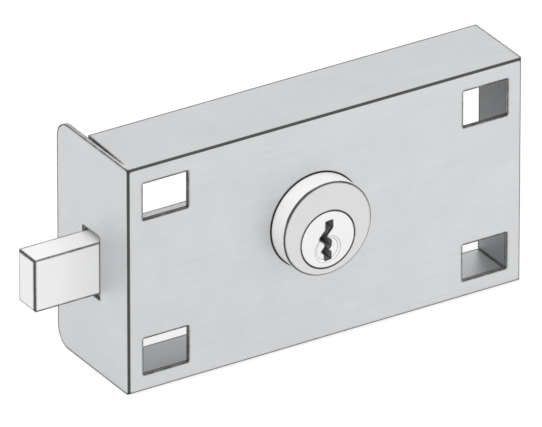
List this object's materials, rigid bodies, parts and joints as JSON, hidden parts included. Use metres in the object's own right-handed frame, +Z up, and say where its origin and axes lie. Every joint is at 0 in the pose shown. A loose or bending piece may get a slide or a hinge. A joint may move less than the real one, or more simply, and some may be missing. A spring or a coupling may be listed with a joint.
{
  "type": "mailbox lock",
  "caption": "Surface-mounted mailbox lock: folded steel case with a deep flange and stud holes, eccentric pin tumbler cylinder, and a rectangular bolt moved by a rack and pinion.",
  "frame": {"origin": "centre of the cylinder's nose, on the outer face of the front plate", "axes": "-Y out of the key side, -X the way the bolt comes out, +Z up"},
  "size_m": [0.1083, 0.0321, 0.0508],
  "materials": {
    "case_steel": "satin",
    "bolt_steel": "satin",
    "cylinder_metal": "satin",
    "plug_metal": "nickel plated",
    "small_steel": "bright",
    "spring_steel": "dark",
    "pinion_steel": "oiled",
    "pin_brass": "bright"
  },
  "bodies": {
    "case_body": {"case": "case_steel", "bolt_guide": "case_steel", "guide_post": "small_steel", "guide_washer": "small_steel", "guide_clip": "spring_steel", "cylinder_shell": "cylinder_metal", "cylinder_clip": "spring_steel", "chamber_cover": "pin_brass", "driver_spring_1": "spring_steel", "driver_spring_2": "spring_steel", "driver_spring_3": "spring_steel", "driver_spring_4": "spring_steel"},
    "plug_body": {"plug": "plug_metal", "thrust_washer": "pin_brass", "drive_pinion": "pinion_steel", "pinion_washer": "small_steel", "pinion_screw": "small_steel"},
    "bolt_body": {"bolt": "bolt_steel"},
    "key_pin_1_body": {"key_pin_1": "pin_brass"},
    "driver_pin_1_body": {"driver_pin_1": "pin_brass"},
    "key_pin_2_body": {"key_pin_2": "pin_brass"},
    "driver_pin_2_body": {"driver_pin_2": "pin_brass"},
    "key_pin_3_body": {"key_pin_3": "pin_brass"},
    "driver_pin_3_body": {"driver_pin_3": "pin_brass"},
    "key_pin_4_body": {"key_pin_4": "pin_brass"},
    "driver_pin_4_body": {"driver_pin_4": "pin_brass"}
  },
  "joints": [
    {"name": "plug_turn", "type": "hinge", "parent": "case_body", "child": "plug_body", "pos_m": [0, 0, -0.0024], "axis": [0, -1, 0], "range_deg": [0, 180]},
    {"name": "bolt_slide", "type": "slide", "parent": "case_body", "child": "bolt_body", "axis": [1, 0, 0], "range_m": [0, 0.01509]},
    {"name": "driver_pin_1_lift", "type": "slide", "parent": "case_body", "child": "driver_pin_1_body", "axis": [0, 0, 1], "range_m": [0, 0.0012], "stiffness_N_per_m": 120, "springref_m": -0.0012, "deforming": ["driver_spring_1"]},
    {"name": "key_pin_1_drop", "type": "slide", "parent": "plug_body", "child": "key_pin_1_body", "axis": [0, 0, 1], "range_m": [-0.00215, 0]},
    {"name": "driver_pin_2_lift", "type": "slide", "parent": "case_body", "child": "driver_pin_2_body", "axis": [0, 0, 1], "range_m": [0, 0.0012], "stiffness_N_per_m": 120, "springref_m": -0.0012, "deforming": ["driver_spring_2"]},
    {"name": "key_pin_2_drop", "type": "slide", "parent": "plug_body", "child": "key_pin_2_body", "axis": [0, 0, 1], "range_m": [-0.00125, 0]},
    {"name": "driver_pin_3_lift", "type": "slide", "parent": "case_body", "child": "driver_pin_3_body", "axis": [0, 0, 1], "range_m": [0, 0.0012], "stiffness_N_per_m": 120, "springref_m": -0.0012, "deforming": ["driver_spring_3"]},
    {"name": "key_pin_3_drop", "type": "slide", "parent": "plug_body", "child": "key_pin_3_body", "axis": [0, 0, 1], "range_m": [-0.00265, 0]},
    {"name": "driver_pin_4_lift", "type": "slide", "parent": "case_body", "child": "driver_pin_4_body", "axis": [0, 0, 1], "range_m": [0, 0.0012], "stiffness_N_per_m": 120, "springref_m": -0.0012, "deforming": ["driver_spring_4"]},
    {"name": "key_pin_4_drop", "type": "slide", "parent": "plug_body", "child": "key_pin_4_body", "axis": [0, 0, 1], "range_m": [-0.00165, 0]}
  ],
  "couplings": [
    {"joint": "bolt_slide", "follows": "plug_turn", "m_per_rad": 0.0048}
  ]
}
